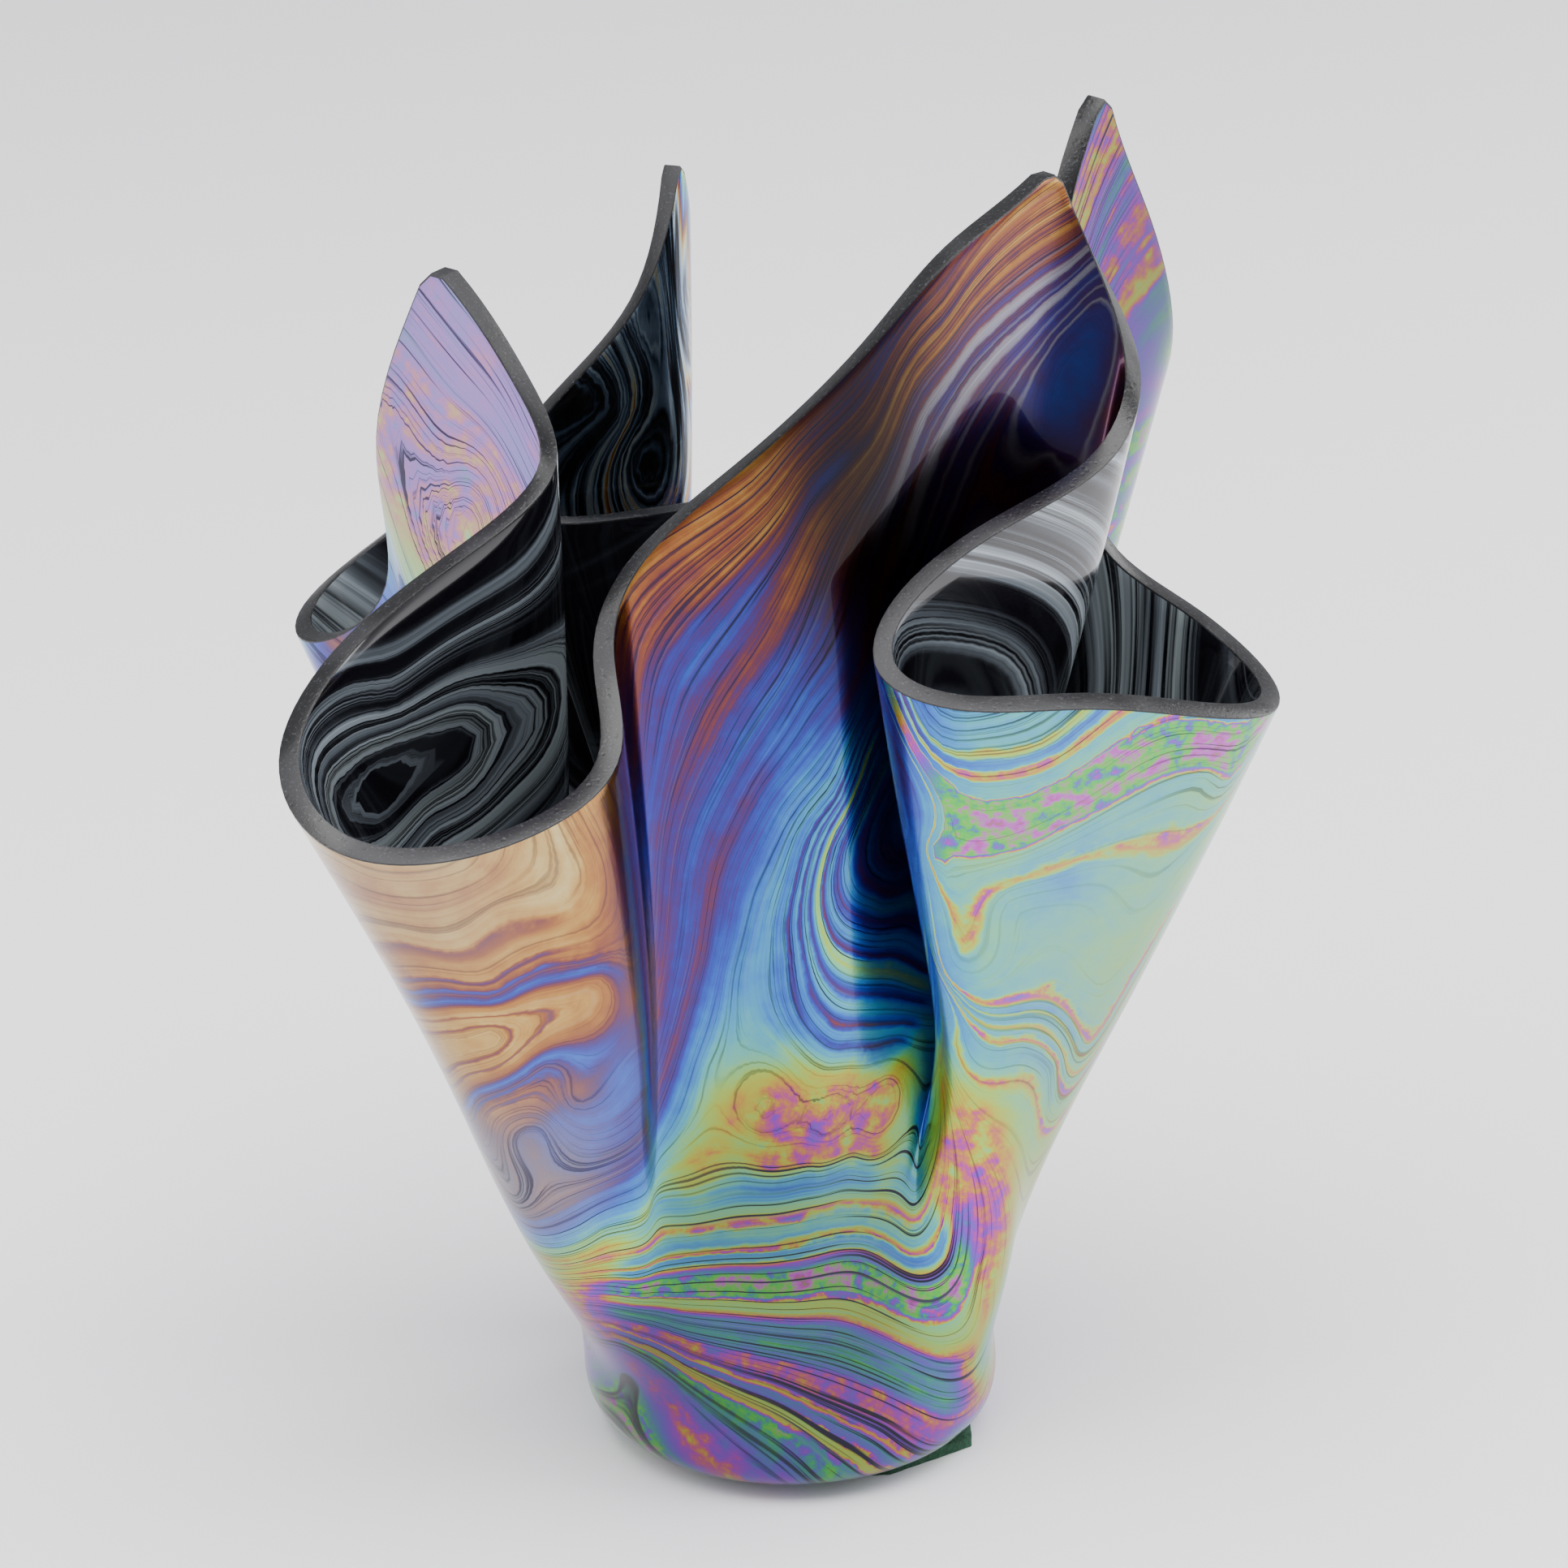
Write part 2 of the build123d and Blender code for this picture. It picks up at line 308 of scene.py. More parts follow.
# How the hot sheet was marbled, on the flat sheet in millimetres from the foot's middle, with the
# front corner at -y. A line's number grows across the lines of the marbling, and the film is
# counted in orders of interference colour.
marbling = {
    "lines": [
        # round the foot
        (-12, [(-62, -22), (-48, -38), (-30, -42)]),
        (0, [(-85, -30), (-75, -55), (-60, -65), (-40, -72), (-20, -75), (0, -70), (12, -60), (18, -46)]),
        (30, [(-97, -40), (-90, -60), (-75, -75), (-60, -88), (-50, -95), (-30, -103), (-10, -107),
              (10, -105),
              (25, -95), (40, -85), (55, -83), (70, -95), (85, -110), (120, -136), (160, -166)]),
        (52, [(-108, -50), (-95, -82), (-80, -101), (-60, -116), (-45, -126), (-20, -132), (0, -133),
              (25, -130),
              (45, -118), (65, -118), (85, -130)]),
        # the plain pocket and the strip that runs down past it
        (60, [(-112, -56), (-100, -80), (-84, -100), (-72, -120), (-67, -145), (-70, -170), (-72, -190),
              (-68, -210), (-58, -226), (-48, -245), (-47, -262), (-42, -285), (-35, -305), (-20, -322),
              (0, -333), (20, -340), (45, -346)]),
        (64, [(-45, -142), (-15, -145), (12, -145)]),
        (76, [(-120, -60), (-112, -92), (-92, -120), (-82, -145), (-82, -170), (-86, -190), (-82, -215),
              (-72, -240), (-62, -262), (-60, -285), (-48, -312), (-28, -330), (0, -343), (30, -350)]),
        (92, [(-120, -122), (-98, -140), (-94, -165), (-98, -190), (-94, -215), (-85, -243), (-80, -268),
              (-70, -290), (-55, -318), (-30, -338), (0, -352)]),
        (110, [(-118, -160), (-114, -190), (-112, -225), (-100, -255), (-90, -282), (-70, -306),
               (-45, -335)]),
        (126, [(-150, -190), (-134, -228), (-118, -255), (-100, -280)]),
        # nested arches in the front valley
        (48, [(-42, -242), (-50, -220), (-58, -198), (-52, -180), (-40, -167), (-20, -161), (0, -160),
              (22, -156)]),
        (26, [(-37, -236), (-47, -212), (-47, -197), (-38, -188), (-20, -183), (0, -181), (16, -176)]),
        (8, [(-30, -226), (-37, -211), (-33, -202), (-20, -198), (0, -197)]),
        (-8, [(-22, -218), (-20, -208), (-8, -205)]),
        (-20, [(40, -230), (80, -240), (60, -200)]),
        # the drop on the front corner
        (38, [(-18, -286), (-10, -303), (2, -319), (20, -331), (45, -338)]),
        (38, [(0, -296), (30, -300), (62, -304)]),
        (18, [(30, -312), (44, -314)]),
        # long tongues on the left front lobe
        (92, [(-152, -62), (-150, -84), (-144, -112), (-138, -147), (-152, -141), (-170, -122),
              (-186, -98)]),
        (108, [(-160, -66), (-158, -92), (-151, -118), (-147, -136), (-160, -126), (-176, -103),
               (-180, -84)]),
        (124, [(-170, -80), (-168, -96), (-162, -112)]),
        (78, [(-138, -62), (-136, -84), (-132, -98)]),
        (96, [(-130, -108), (-128, -116)]),
        (78, [(-206, -96), (-200, -120), (-184, -144), (-168, -160)]),
        (66, [(-232, -106), (-216, -130), (-196, -152)]),
        # arcs across the right front lobe
        (18, [(45, -58), (62, -72), (85, -88)]),
        (6, [(104, -58), (108, -90), (104, -118)]),
        (-4, [(128, -60), (135, -80), (133, -100), (125, -120), (118, -136)]),
        (-16, [(148, -68), (151, -88), (144, -110), (131, -136)]),
        (-24, [(190, -80), (182, -105), (166, -130)]),
        (-34, [(226, -85), (225, -100), (215, -112), (200, -122), (180, -135), (165, -152), (161, -162)]),
        (-50, [(246, -100), (235, -128), (205, -142), (190, -155), (184, -176)]),
        (-62, [(230, -148), (210, -153), (197, -166), (190, -182)]),
        # left corner, right corner and the back, drawn on from what the front shows
        (40, [(-322, 92), (-312, 62), (-300, 36)]),
        (56, [(-302, 101), (-294, 72), (-284, 46), (-270, 20)]),
        (70, [(-280, 108), (-276, 84), (-262, 60), (-240, 30)]),
        (92, [(-268, 76), (-262, 74)]),
        (48, [(-250, 120), (-226, 84), (-200, 40), (-190, -10), (-206, -60)]),
        (30, [(-200, 150), (-170, 100), (-140, 50), (-130, 0), (-150, -40)]),
        (12, [(-130, 190), (-110, 130), (-96, 70), (-92, 10)]),
        (-10, [(-60, 60), (-30, 76), (0, 72), (40, 60), (60, 30), (58, -10)]),
        (14, [(-70, 100), (-30, 104), (20, 92), (70, 70), (96, 20), (88, -30)]),
        (36, [(-90, 250), (-70, 190), (-40, 150), (0, 128), (50, 110), (100, 100), (140, 60), (150, -20)]),
        (64, [(-50, 300), (-30, 240), (-8, 190), (16, 160), (60, 140), (110, 150), (128, 190), (110, 230),
              (70, 262)]),
        (88, [(-4, 280), (10, 230), (32, 190), (64, 172), (92, 190), (80, 225), (50, 250)]),
        (104, [(34, 236), (60, 205)]),
        (40, [(150, 230), (180, 160), (196, 90), (200, 20), (196, -30)]),
        (62, [(190, 180), (222, 110), (232, 40), (236, -20)]),
        (84, [(206, 200), (230, 180), (262, 130), (262, 70)]),
        (60, [(300, 166), (296, 140), (280, 110)]),
        (36, [(322, 150), (314, 130), (306, 112)]),
        (20, [(-8, 270), (-20, 300)]),
    ],
    # film thickness at places on the sheet
    "films": [
        (2.6, [(-50, -25), (-20, -38), (20, -38)]), (2.2, [(10, -52), (25, -62)]),
        (2.1, [(-60, -48), (-38, -52), (-20, -68), (5, -66), (-10, -56)]),
        (2.0, [(-50, -75), (-25, -86), (10, -84), (30, -70), (-70, -60)]), (1.95, [(60, -80)]),
        (2.2, [(-26, -100), (0, -103), (25, -93), (45, -86)]), (1.8, [(-62, -92), (-46, -96)]),
        (1.4, [(-62, -104), (-40, -113), (0, -118), (40, -112), (60, -122)]),
        (1.42, [(-20, -128), (40, -50), (70, -60)]),
        (1.58, [(-80, -85), (-65, -110), (-50, -130), (-62, -140)]),
        (1.84, [(-40, -146), (-20, -145), (12, -145), (0, -138)]),
        (1.74, [(-55, -135), (-60, -120), (-30, -137)]), (1.36, [(-60, -156), (-48, -158)]),
        (1.45, [(-100, -60)]), (1.5, [(-30, -157)]), (1.6, [(-90, -70)]),
        (1.34, [(-88, -98), (-72, -130), (-66, -160), (-100, -82)]),
        (1.27, [(-62, -190), (-60, -218), (-50, -180), (-40, -195), (-20, -175), (0, -172)]),
        (1.2, [(-75, -160), (-72, -225), (0, -190), (-80, -130)]), (1.38, [(20, -164)]),
        (1.14, [(-78, -190), (-64, -236), (-20, -206), (-10, -214)]),
        (1.0, [(-90, -150), (-104, -150), (-102, -200), (-110, -226), (-96, -236), (-124, -222),
               (50, -230)]),
        (1.02, [(-95, -178), (-94, -208), (-74, -248)]), (1.06, [(-84, -222)]),
        (0.94, [(-98, -250), (-84, -258), (-118, -240)]), (0.92, [(-70, -266), (-112, -140), (-60, -320)]),
        (0.78, [(-118, -256), (-110, -268), (-124, -262), (-98, -282), (-142, -232)]),
        (0.9, [(-50, -336), (-30, -345), (0, -352), (-78, -305)]), (0.96, [(-66, -318), (-86, -290)]),
        (0.88, [(-78, -300), (-30, -330), (0, -342), (30, -346)]), (0.8, [(-56, -296), (-46, -310)]),
        (1.0, [(-30, -296), (-28, -312), (-10, -322), (-10, -296), (0, -290), (22, -292), (44, -296),
               (-24, -278), (-46, -272)]),
        (1.1, [(30, -306), (12, -316), (28, -322)]), (1.0, [(55, -314), (45, -332)]),
        (0.69, [(-200, -125), (-215, -116), (-160, -110), (-170, -86), (-235, -110)]),
        (0.74, [(-180, -142), (-165, -152), (-186, -110)]),
        (0.84, [(-150, -98), (-143, -136), (-156, -78)]), (0.86, [(-130, -111)]),
        (1.1, [(-124, -119), (-122, -104), (-131, -100)]), (0.88, [(-135, -126), (-140, -90)]),
        (1.08, [(-110, -96), (-104, -108), (-112, -118)]),
        (1.02, [(-128, -78), (-120, -88), (-130, -62), (-136, -90), (-138, -70)]),
        (1.14, [(-100, -92), (-106, -80)]), (1.0, [(-150, -170)]), (1.82, [(90, -95), (100, -105)]),
        (1.55, [(112, -90), (95, -60)]), (1.42, [(112, -115), (205, -90), (190, -100)]),
        (1.38, [(135, -90), (165, -110), (150, -130), (236, -105), (205, -130), (178, -155), (222, -118)]),
        (1.29, [(182, -118)]), (1.34, [(216, -150), (200, -165)]), (1.3, [(100, -132)]),
        (1.15, [(132, -152)]), (1.06, [(160, -176)]), (0.95, [(180, -200), (120, -250)]),
        (1.99, [(-300, 60), (-285, 60), (-305, 75)]), (2.06, [(-312, 80), (-318, 92)]),
        (1.86, [(-270, 74), (-262, 84)]), (2.04, [(-272, 90)]), (1.98, [(-290, 90), (-290, 20)]),
        (1.4, [(-240, 115), (-235, 60), (-170, 60)]), (1.25, [(-160, -10), (-130, 90)]),
        (1.6, [(-100, 60), (-90, -5), (-70, 110)]),
        (2.1, [(-50, 40), (0, 60), (55, 20), (-60, 10), (40, 50)]), (1.95, [(0, 95), (75, 60), (85, -10)]),
        (1.6, [(120, 20), (100, 100), (130, -30)]), (1.4, [(170, 40), (150, 130), (190, -30)]),
        (1.3, [(230, 60), (200, 140), (240, -10)]), (1.0, [(262, 90), (150, 220), (60, 200)]),
        (1.96, [(300, 130), (322, 140), (330, 146), (312, 138)]), (1.88, [(280, 150), (270, 130)]),
        (2.3, [(246, 160), (250, 130)]), (2.45, [(216, 160), (205, 150)]), (1.2, [(-20, 180), (20, 150)]),
        (0.55, [(0, 230), (40, 240)]),
        (0.14, [(-30, 262), (0, 290), (-60, 300), (30, 270), (-20, 310), (-40, 325)]), (0.8, [(90, 262)]),
        (1.3, [(-80, 200), (-120, 160)]), (1.1, [(-160, 160)]), (1.9, [(-72, 322), (-80, 290)]),
    ],
    # bands between two lines, near a place, within a radius in millimetres, and their extra orders
    "bands": [
        (-48, -36, (212, -122), 75, 1.2), (-56, -53, (200, -152), 50, 0.45),
        (-62, -60, (205, -160), 50, 0.3), (-30, -28.6, (190, -120), 90, 0.4),
        (-6.4, -5, (132, -95), 60, 0.5), (-9.5, -8.6, (140, -95), 60, 0.35),
        (-17.2, -15.8, (146, -92), 60, 0.55), (-13.2, -12.4, (140, -95), 50, 0.3),
        (0, 1.2, (118, -95), 50, 0.3),
    ],
    # zones where the film follows the lines: discs on the sheet (x, y, radius) and the film at lines
    "zones": {
        "foot": {
            "discs": [(-20, -85, 58), (-50, -80, 42), (10, -80, 44), (30, -90, 40), (-15, -115, 40)],
            "steps": [(-14, 1.74), (-12, 1.9), (-9, 2.24), (-6, 2.32), (-5.4, 1.62), (-4, 1.6),
                      (-3.4, 2.16), (-1.6, 2.22), (-0.8, 1.6), (0.4, 2.04), (2, 1.86), (6, 1.88),
                      (7.4, 2.16), (16, 2.28), (19, 1.58), (22.5, 1.54), (24, 2.42), (29.5, 2.5),
                      (31.5, 2.1), (33.6, 1.32), (35.4, 1.3), (36.4, 1.84), (38, 1.28), (41, 1.34),
                      (42.4, 1.9), (44, 1.48), (48, 1.32), (51, 1.36), (55, 1.78), (62, 1.84)],
        },
        "valley": {
            "discs": [(-35, -195, 34), (-15, -185, 32), (-45, -215, 28), (5, -175, 26), (-55, -190, 20)],
            "steps": [(-20, 1.08), (-8, 1.0), (-4, 1.16), (1, 1.02), (5, 1.16), (8, 1.32), (11, 1.2),
                      (14, 1.0), (17, 1.22), (21, 1.26), (23.6, 0.98), (26, 1.34), (28.4, 1.52), (31, 1.28),
                      (34, 0.98), (36, 1.34), (38.6, 1.28), (41, 1.0), (43, 1.3), (45, 1.24), (47, 1.0),
                      (49, 1.24), (60, 1.26)],
        },
        "tongues": {
            "discs": [(-168, -105, 38), (-148, -125, 22), (-185, -120, 40), (-205, -120, 36),
                      (-170, -85, 30)],
            "steps": [(60, 0.7), (66, 0.7), (70, 0.76), (74, 0.71), (79, 0.73), (80.4, 0.9), (82, 0.76),
                      (86, 0.78), (87.2, 1.0), (88.6, 0.82), (91, 0.88), (92.4, 1.1), (94, 0.94),
                      (96, 1.02), (98.6, 1.14), (101, 0.98), (103, 0.84), (107, 0.76), (109, 0.74),
                      (110.2, 0.94), (111.6, 0.75), (116, 0.74), (117.4, 0.97), (119, 0.76), (123, 0.73),
                      (124.2, 0.86), (125.6, 0.72)],
        },
        "corner": {
            "discs": [(0, -318, 46), (-35, -315, 42), (-25, -340, 34), (20, -340, 34), (-58, -300, 24),
                      (40, -320, 34)],
            "steps": [(14, 1.12), (24, 1.08), (32, 1.03), (38, 1.0), (52, 1.02), (64, 1.0), (78, 1.0),
                      (84, 0.97), (90, 0.9), (94, 0.8), (98, 0.94), (103, 0.8), (108, 0.96), (114, 0.82),
                      (120, 0.92)],
        },
    },
    # pale veins on the front corner: line number and how much of the colour they cover
    "veins": [
        (30, 0), (33.4, 0), (35, 0.7), (36.6, 0), (40.6, 0), (42, 0.6), (43.4, 0), (49, 0), (50.4, 0.45),
        (51.8, 0), (56.4, 0), (58, 0.75), (62, 0.85), (63.8, 0), (65.4, 0), (66.4, 0.35), (67.4, 0),
        (70.6, 0), (72.2, 0.8), (75.6, 0.7), (77.4, 0), (83, 0), (84, 0.3), (85.2, 0), (90, 0),
    ],
    # how veiled the colour is with pale grey, or below zero how much painted shade darkens it
    "veilsAndPaintedShade": [
        (0.18, [(165, -110), (200, -100), (130, -90)]), (0.1, [(200, -150), (230, -120)]),
        (0.2, [(-210, -118), (-190, -135)]), (0.06, [(-160, -115), (-170, -95)]),
        (0.36, [(-125, -75), (-115, -85), (-135, -60)]), (0.15, [(-105, -100)]),
        (0, [(-90, -160), (-80, -210), (-60, -190)]), (0.04, [(-30, -190)]),
        (-0.06, [(-100, -240), (-110, -260)]), (-0.4, [(-85, -285), (-70, -310), (-60, -270)]),
        (-0.3, [(-50, -330), (-20, -300), (20, -310), (0, -290)]), (-0.2, [(0, -345), (-30, -345)]),
        (-0.22, [(-40, -140), (0, -145), (-70, -110)]),
        (-0.28, [(0, -100), (-40, -80), (0, -60), (-70, -60), (20, -90), (-20, -115), (-40, -45)]),
        (0.35, [(-295, 60), (-270, 80), (-315, 90)]), (-0.25, [(300, 130), (250, 140), (322, 140)]),
        (0.1, [(0, 100), (-150, 60), (120, 100), (150, 0)]), (0, [(100, -110), (70, -80)]),
        (-0.1, [(120, -170), (-150, -190)]), (-0.2, [(-20, 280), (0, 240)]),
    ],
    # lines on the inside of the left front lobe, where the smoky streaks run
    "insideLines": [
        (0, [(-262, -10), (-255, -60), (-246, -92)]), (20, [(-250, -2), (-242, -50), (-234, -95)]),
        (40, [(-238, -70), (-237, -42), (-234, -22), (-227, -13), (-218, -22), (-211, -45), (-206, -60)]),
        (60, [(-229, -78), (-231, -48), (-226, -31), (-220, -45), (-219, -70)]), (72, [(-225, -60)]),
        (20, [(-206, -5), (-197, -30), (-188, -50)]), (0, [(-190, 12), (-170, -10)]),
        (-30, [(-120, 0), (-100, -60)]),
        (0, [(110, -215), (150, -205)]), (30, [(100, -245), (140, -240)]), (60, [(95, -275), (120, -270)]),
        (30, [(60, -120), (-60, -120)]), (50, [(225, -40), (245, -30)]), (20, [(220, 10), (250, 30)]),
        (80, [(100, 180), (-80, 220)]), (20, [(60, 60), (-100, 80)]), (50, [(-250, 90), (-180, 160)]),
    ],
    # how strong the fine lines are
    "strengths": [
        (0.5, [(-60, -60), (-20, -70), (0, -50), (-60, -95)]),
        (0.75, [(0, -112), (40, -112), (-85, -60), (-30, -118)]),
        (0.35, [(-40, -140), (0, -145), (-60, -130), (-60, -155)]),
        (0.3, [(-75, -170), (-90, -200), (-100, -160)]), (0.55, [(-30, -180), (-20, -200), (-45, -210)]),
        (0.5, [(-90, -240), (-110, -260), (-80, -290)]), (0.5, [(-40, -320), (0, -345), (-25, -300)]),
        (0.1, [(30, -312)]), (0.22, [(-150, -100), (-190, -120), (-215, -115)]),
        (0.9, [(300, 130), (318, 140)]), (0.12, [(165, -110), (190, -95), (110, -90)]),
        (0.35, [(140, -90), (220, -110), (200, -150)]), (0.45, [(-110, -90), (-120, -80)]),
        (0.5, [(-290, 60), (300, 140), (-20, 200), (100, 150), (-150, 50), (200, 50), (0, 90)]),
    ],
    "span": 100,  # millimetres of sheet that count as one in the bent plates
    "give": 0.004,  # how far a plate may pass its marks by
    "strengthRange": (0.02, 1),
    "filmRange": (0.1, 2.9),
    "veilAndPaintedShadeRange": (-0.5, 0.5),
    "zoneEdge": 0.35,  # share of a disc's radius over which its zone fades out
    "bandMiddle": 0.45,  # share of a band's radius within which it shows in full
    "bandEdge": 0.7,  # lines to each side over which a band sets in
}


def smoothField(marks):
    # a smooth height over the sheet through given marks: a bent thin plate
    span = marbling["span"]
    places = np.array([point for _, points in marks for point in points], float) / span
    heights = np.array([height for height, points in marks for _ in points], float)
    count = len(places)

    def plate(first, second):
        gap = np.maximum(((first[:, None] - second[None]) ** 2).sum(-1), 1e-9)
        return gap * np.log(gap)

    flatPart = np.concatenate([np.ones((count, 1)), places], 1)
    tilts = flatPart.shape[1]
    table = np.zeros((count + tilts, count + tilts))
    table[:count, :count] = plate(places, places) + np.eye(count) * marbling["give"]
    table[:count, count:] = flatPart
    table[count:, :count] = flatPart.T
    shares = np.linalg.solve(table, np.concatenate([heights, np.zeros(tilts)]))

    def height(flat):
        spots = flat.reshape(-1, 2) / (span * mm)
        bend = plate(spots, places) @ shares[:count]
        tilt = np.concatenate([np.ones((len(spots), 1)), spots], 1) @ shares[count:]
        return (bend + tilt).reshape(flat.shape[:-1])

    return height


def marbled(flat, outside):
    # at each point: the line it is on, how strong the lines are, its film, and its pale veil or, below
    # zero, its painted shade
    fields = {}
    for name in ("lines", "insideLines", "strengths", "films", "veilsAndPaintedShade"):
        fields[name] = smoothField(marbling[name])(flat)
    return np.stack([
        np.where(outside, fields["lines"], fields["insideLines"]),
        np.clip(fields["strengths"], *marbling["strengthRange"]),
        np.clip(fields["films"], *marbling["filmRange"]),
        np.clip(fields["veilsAndPaintedShade"], *marbling["veilAndPaintedShadeRange"]),
    ], -1)


def zoneShares(flat):
    # how far each point is inside the four zones, 1 in the middle and 0 outside
    shares = []
    for zone in marbling["zones"].values():
        share = np.zeros(flat.shape[:-1])
        for x, y, radius in zone["discs"]:
            gap = np.hypot(flat[..., 0] - x * mm, flat[..., 1] - y * mm) / (radius * mm)
            edge = np.clip((1 - gap) / marbling["zoneEdge"], 0, 1)
            share = np.maximum(share, edge * edge * (3 - 2 * edge))
        shares.append(share)
    return np.stack(shares, -1)


def onSheet(mapOfSheet, x, y):
    # where a place on the flat sheet came to lie on the outside of the vase
    flat = mapOfSheet["flat"]
    gaps = np.hypot(flat[:, 0] - x * mm, flat[:, 1] - y * mm)
    return tuple(float(c) for c in mapOfSheet["points"][np.argmin(gaps)])


# The lustre outside. Streaks: how many per line across, how many per metre along, and detail.
# Noises: how many per metre, detail, roughness.
lustre = {
    "waves": (0.85, 1.0, 1.2),  # how fast red, green and blue come round as the film thickens
    "fade": 0.13,  # how much paler each order of colour is
    "contrast": 1.6,
    "streakRoughness": 0.6,
    "broad": (0.075, 7.0, 1.0),
    "middle": (0.3, 11.0, 3.0),
    "fine": (1.3, 16.0, 3.0),
    "pale": (0.9, 9.0, 3.0),
    "swirl": (0.13, 12.0, 2.0),
    "mottle": (170.0, 3.0, 0.62),
    "cloud": (30.0, 2.0, 0.5),
    "paleShift": 40,  # lines between the pale streaks and the dark ones
    "mottleWander": 2.5,  # lines that the marbling wanders by
    "middleWander": 3.0,
    "back": (0.02, 0.06),  # metres behind the middle over which the swirls of the back set in
    # orders of colour that each of them adds
    "broadOrders": 1.1,
    "swirlOrders": 3.2,
    "middleOrders": 0.75,
    "fineOrders": 0.6,
    "cloudOrders": 0.16,
    "mottleOrders": 0.14,
    "fleckOrders": 1.25,
    # films that break up into flecks: magenta from and to, then green, which does it more
    "magentaFrom": (1.6, 1.78),
    "magentaTo": (1.94, 2.04),
    "greenFrom": (2.26, 2.42),
    "greenShare": 2.2,
    "veilTone": tone(196, 200, 206),
    "veilLeast": 0.04,
    "veilAndPaintedShadeRange": (0, 0.5),
    "veilShare": 0.5,
    "darkTone": tone(26, 16, 56),
    "darkEdge": (0.53, 0.64),
    "darkShare": 1.9,
    "paleTone": tone(176, 190, 214),
    "paleEdge": (0.58, 0.7),
    "paleShare": 0.3,
    "veinTone": tone(226, 226, 236),
    "veinShare": 0.7,
    "veinFraying": 1.6,
    "shade": 0.47,  # share of black in the colour of the metal
    # how much painted shade the below-zero veils add to the metal's colour
    "paintedShadeShare": 0.5,
    "rippleStrength": 0.12,
    "rippleDepth": 0.0003,
    "rippleMottle": 0.5,
    "metal": 0.92,
    "roughness": 0.14,
    "cloudRoughness": 0.2,
    "coat": 0.35,
    "coatRoughness": 0.04,
    "rampSpan": 3.0,  # orders of colour from the bottom to the top of a colour ramp
}


def interference(bench, film):
    # reflected colour of a film, one wave for each of red, green and blue
    fade = bench.add("ShaderNodeMath", {"operation": "EXPONENT"}, {0: film * -lustre["fade"]})
    channels = {}
    for name, wave in zip(("Red", "Green", "Blue"), lustre["waves"]):
        swing = bench.add("ShaderNodeMath", {"operation": "COSINE"}, {0: film * (2 * math.pi * wave)})
        channels[name] = 0.5 - swing * 0.5 * fade
    return bench.add("ShaderNodeCombineColor", {}, channels)


def flowPart(bench, axis):
    # X the line that a point is on, Y how strong the lines are, Z the film
    return bench.add("ShaderNodeSeparateXYZ", {}, {0: bench.carried("flow")}, out=axis)


def streaks(bench, line, place, kind):
    # noise that changes fast across the lines and slowly along them
    perLine, along, detail = kind
    slow = bench.add("ShaderNodeVectorMath", {"operation": "SCALE"}, {0: place, 3: along})
    across = bench.add("ShaderNodeCombineXYZ", {}, {0: line * perLine})
    spot = bench.add("ShaderNodeVectorMath", {"operation": "ADD"}, {0: slow, 1: across})
    return bench.noise(spot, 1.0, detail, lustre["streakRoughness"])


def filmSteps(bench, line, steps):
    # the film as a function of the line number, straight between listed steps
    low, high = steps[0][0], steps[-1][0]
    span = lustre["rampSpan"]
    stops = [((number - low) / (high - low), (film / span,) * 3 + (1.0,)) for number, film in steps]
    ramp = bench.add("ShaderNodeValToRGB", {"stops": stops}, {0: (line - low) / (high - low)})
    return bench.add("ShaderNodeSeparateColor", {}, {0: ramp}) * span


def bandMask(bench, line, place, mapOfSheet, band):
    low, high, (x, y), radius, _ = band
    edge = marbling["bandEdge"]
    gap = bench.add("ShaderNodeVectorMath", {"operation": "DISTANCE"},
                    {0: place, 1: onSheet(mapOfSheet, x, y)}, out="Value")
    near = 1 - gap.clipped(radius * marbling["bandMiddle"] * mm, radius * mm)
    return near * line.clipped(low - edge, low + edge) * (1 - line.clipped(high - edge, high + edge))


def lustreFilm(bench, line, strength, place, mapOfSheet, shared):
    # how thick the film is at a point, in orders of colour
    broad = streaks(bench, line, place, lustre["broad"])
    swirl = streaks(bench, line, place, lustre["swirl"])
    behind = bench.add("ShaderNodeSeparateXYZ", {}, {0: place}, out="Y").clipped(*lustre["back"])
    film = (flowPart(bench, "Z") + broad.centred() * lustre["broadOrders"] * strength
            + swirl.centred() * behind * lustre["swirlOrders"])
    for share, zone in zip(shared["zoneShare"], marbling["zones"].values()):
        stepped = filmSteps(bench, shared["wavy"], zone["steps"])
        film = film + (stepped - film) * share
    film = (film + shared["middle"].centred() * lustre["middleOrders"] * strength
            + shared["fine"].centred() * lustre["fineOrders"] * strength)
    for band in marbling["bands"]:
        film = film + bandMask(bench, shared["wavy"], place, mapOfSheet, band) * band[-1]
    magenta = film.clipped(*lustre["magentaFrom"]) * (1 - film.clipped(*lustre["magentaTo"]))
    flecked = magenta + film.clipped(*lustre["greenFrom"]) * lustre["greenShare"]
    return (film + shared["mottle"].centred() * (flecked * lustre["fleckOrders"] + lustre["mottleOrders"])
            + shared["cloud"].centred() * lustre["cloudOrders"])


